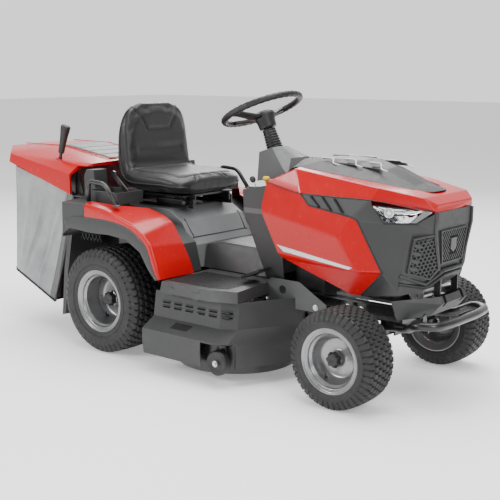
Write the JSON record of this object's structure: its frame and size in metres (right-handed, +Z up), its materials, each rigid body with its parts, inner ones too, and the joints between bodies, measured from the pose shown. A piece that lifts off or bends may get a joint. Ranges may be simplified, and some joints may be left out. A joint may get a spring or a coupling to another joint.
{
  "type": "ride-on lawn mower",
  "caption": "Ride-on mower with a steered front axle, tilting hood, sliding seat, twin-blade height-adjustable deck and a tipping rear grass collector.",
  "frame": {"origin": "centre of the footprint of the whole mower, on the ground", "axes": "+X forwards to the nose, +Y to the driver's left, +Z up"},
  "size_m": [2.35, 1.04, 1.119],
  "materials": {
    "steel_black": "semi-gloss",
    "red_panel": "glossy",
    "dark_plastic": "fine grain",
    "grey_plastic": "fine grain",
    "silver_paint": "semi-gloss",
    "bright_steel": "brushed",
    "cast_metal": "rough",
    "tank_plastic": "translucent",
    "tyre_rubber": "matte",
    "hard_rubber": "satin",
    "yellow_plastic": "glossy",
    "vinyl": "grained vinyl",
    "bag_cloth": "woven",
    "lamp_glass": "glossy"
  },
  "bodies": {
    "chassis": {"frame_rails": "steel_black", "frame_crossmembers": "steel_black", "transaxle": "cast_metal", "engine_block": "cast_metal", "engine_cowl": "dark_plastic", "muffler": "bright_steel", "battery": "dark_plastic", "fuel_tank": "tank_plastic", "dash_lower": "dark_plastic", "dash_tower": "grey_plastic", "column_boot": "dark_plastic", "seat_console": "grey_plastic", "fender_body": "dark_plastic", "fender_covers": "red_panel", "rear_panel": "dark_plastic", "footboards": "dark_plastic", "centre_tunnel": "dark_plastic", "deck_skirts": "dark_plastic", "front_apron": "dark_plastic", "front_bumper": "steel_black", "grab_handles": "steel_black", "discharge_chute": "steel_black", "hitch_plate": "steel_black"},
    "steering": {"steering_rim": "hard_rubber", "steering_shaft": "bright_steel"},
    "front_axle": {"front_axle_beam": "steel_black"},
    "knuckle_l": {"knuckle_left": "steel_black"},
    "knuckle_r": {"knuckle_right": "steel_black"},
    "tie_rod_link": {"tie_rod": "steel_black"},
    "front_wheel_l": {"front_rim_left": "silver_paint", "front_tyre_left": "tyre_rubber"},
    "front_wheel_r": {"front_rim_right": "silver_paint", "front_tyre_right": "tyre_rubber"},
    "rear_wheel_l": {"rear_rim_left": "silver_paint", "rear_tyre_left": "tyre_rubber", "rear_axle_shaft_left": "bright_steel"},
    "rear_wheel_r": {"rear_rim_right": "silver_paint", "rear_tyre_right": "tyre_rubber", "rear_axle_shaft_right": "bright_steel"},
    "hood": {"hood_shell": "red_panel", "hood_insert": "dark_plastic", "hood_fascia": "dark_plastic", "headlight_lenses": "lamp_glass"},
    "seat_base": {"seat_slide": "steel_black"},
    "seat": {"seat_pan": "steel_black", "seat_cushion": "vinyl"},
    "collector": {"collector_lid": "red_panel", "grass_bag": "bag_cloth", "bag_frame": "steel_black"},
    "tip_lever": {"tipping_lever": "steel_black"},
    "deck": {"deck_shell": "steel_black"},
    "blade_l": {"blade_left": "bright_steel"},
    "blade_r": {"blade_right": "bright_steel"},
    "gauge_l": {"gauge_wheel_left": "hard_rubber"},
    "gauge_r": {"gauge_wheel_right": "hard_rubber"},
    "throttle": {"throttle_lever": "hard_rubber"},
    "pto": {"pto_knob": "yellow_plastic"},
    "lift_lever": {"height_lever": "steel_black"},
    "drive_pedal_body": {"drive_pedal": "steel_black"},
    "brake_pedal_body": {"brake_pedal": "steel_black"}
  },
  "joints": [
    {"name": "steering_wheel", "type": "hinge", "parent": "chassis", "child": "steering", "pos_m": [0.196, 0, 1.039], "axis": [-0.4067, 0, 0.9135], "range_deg": [-180, 180]},
    {"name": "front_axle_tilt", "type": "hinge", "parent": "chassis", "child": "front_axle", "pos_m": [0.864, 0, 0.23], "axis": [1, 0, 0], "range_deg": [-4, 4]},
    {"name": "knuckle_left_turn", "type": "hinge", "parent": "front_axle", "child": "knuckle_l", "pos_m": [0.864, 0.262, 0.23], "axis": [0, 0, 1], "range_deg": [-30.5, 30.5]},
    {"name": "knuckle_right_turn", "type": "hinge", "parent": "front_axle", "child": "knuckle_r", "pos_m": [0.864, -0.262, 0.23], "axis": [0, 0, 1], "range_deg": [-30.5, 30.5]},
    {"name": "tie_rod_pivot", "type": "hinge", "parent": "knuckle_l", "child": "tie_rod_link", "pos_m": [0.754, 0.262, 0.17], "axis": [0, 0, 1], "range_deg": [-30.5, 30.5]},
    {"name": "front_wheel_left_spin", "type": "hinge", "parent": "knuckle_l", "child": "front_wheel_l", "pos_m": [0.864, 0.3715, 0.184], "axis": [0, 1, 0], "continuous": true},
    {"name": "front_wheel_right_spin", "type": "hinge", "parent": "knuckle_r", "child": "front_wheel_r", "pos_m": [0.864, -0.3715, 0.184], "axis": [0, 1, 0], "continuous": true},
    {"name": "rear_wheel_left_spin", "type": "hinge", "parent": "chassis", "child": "rear_wheel_l", "pos_m": [-0.325, 0.356, 0.2285], "axis": [0, 1, 0], "continuous": true},
    {"name": "rear_wheel_right_spin", "type": "hinge", "parent": "chassis", "child": "rear_wheel_r", "pos_m": [-0.325, -0.356, 0.2285], "axis": [0, 1, 0], "continuous": true},
    {"name": "hood_hinge", "type": "hinge", "parent": "chassis", "child": "hood", "pos_m": [1.075, 0, 0.37], "axis": [0, 1, 0], "range_deg": [0, 50]},
    {"name": "seat_slide_rail", "type": "slide", "parent": "chassis", "child": "seat_base", "axis": [1, 0, 0], "range_m": [0, 0.12]},
    {"name": "seat_tip", "type": "hinge", "parent": "seat_base", "child": "seat", "pos_m": [-0.089, 0, 0.64], "axis": [0, 1, 0], "range_deg": [0, 45]},
    {"name": "collector_tip", "type": "hinge", "parent": "chassis", "child": "collector", "pos_m": [-0.67, 0, 0.745], "axis": [0, 1, 0], "range_deg": [0, 70]},
    {"name": "tip_lever_slide", "type": "slide", "parent": "collector", "child": "tip_lever", "axis": [0.2924, 0, 0.9563], "range_m": [0, 0.12]},
    {"name": "deck_lift", "type": "slide", "parent": "chassis", "child": "deck", "axis": [0, 0, 1], "range_m": [-0.02, 0.022]},
    {"name": "blade_left_spin", "type": "hinge", "parent": "deck", "child": "blade_l", "pos_m": [0.26, 0.235, 0.066], "axis": [0, 0, 1], "continuous": true},
    {"name": "blade_right_spin", "type": "hinge", "parent": "deck", "child": "blade_r", "pos_m": [0.26, -0.235, 0.066], "axis": [0, 0, 1], "continuous": true},
    {"name": "gauge_wheel_left_spin", "type": "hinge", "parent": "deck", "child": "gauge_l", "pos_m": [0.382, 0.492, 0.098], "axis": [0, 1, 0], "continuous": true},
    {"name": "gauge_wheel_right_spin", "type": "hinge", "parent": "deck", "child": "gauge_r", "pos_m": [0.382, -0.492, 0.098], "axis": [0, 1, 0], "continuous": true},
    {"name": "throttle_pivot", "type": "hinge", "parent": "chassis", "child": "throttle", "pos_m": [0.325, -0.2, 0.752], "axis": [0, 1, 0], "range_deg": [-25, 25]},
    {"name": "pto_pull", "type": "slide", "parent": "chassis", "child": "pto", "axis": [0, 0, 1], "range_m": [0, 0.012]},
    {"name": "lift_lever_pivot", "type": "hinge", "parent": "chassis", "child": "lift_lever", "pos_m": [-0.329, -0.258, 0.66], "axis": [0, 1, 0], "range_deg": [-14, 16]},
    {"name": "drive_pedal_pivot", "type": "hinge", "parent": "chassis", "child": "drive_pedal_body", "pos_m": [0.32, -0.242, 0.39], "axis": [0, 1, 0], "range_deg": [0, 12], "stiffness_Nm_per_rad": 2, "springref_deg": -17.19},
    {"name": "brake_pedal_pivot", "type": "hinge", "parent": "chassis", "child": "brake_pedal_body", "pos_m": [0.32, 0.242, 0.39], "axis": [0, 1, 0], "range_deg": [0, 12], "stiffness_Nm_per_rad": 2, "springref_deg": -17.19}
  ],
  "couplings": [
    {"joint": "knuckle_left_turn", "follows": "steering_wheel", "ratio": 0.16667},
    {"joint": "knuckle_right_turn", "follows": "steering_wheel", "ratio": 0.16667},
    {"joint": "tie_rod_pivot", "follows": "steering_wheel", "ratio": -0.16667},
    {"joint": "blade_right_spin", "follows": "blade_left_spin", "ratio": -1},
    {"joint": "lift_lever_pivot", "follows": "deck_lift", "rad_per_m": 12}
  ]
}
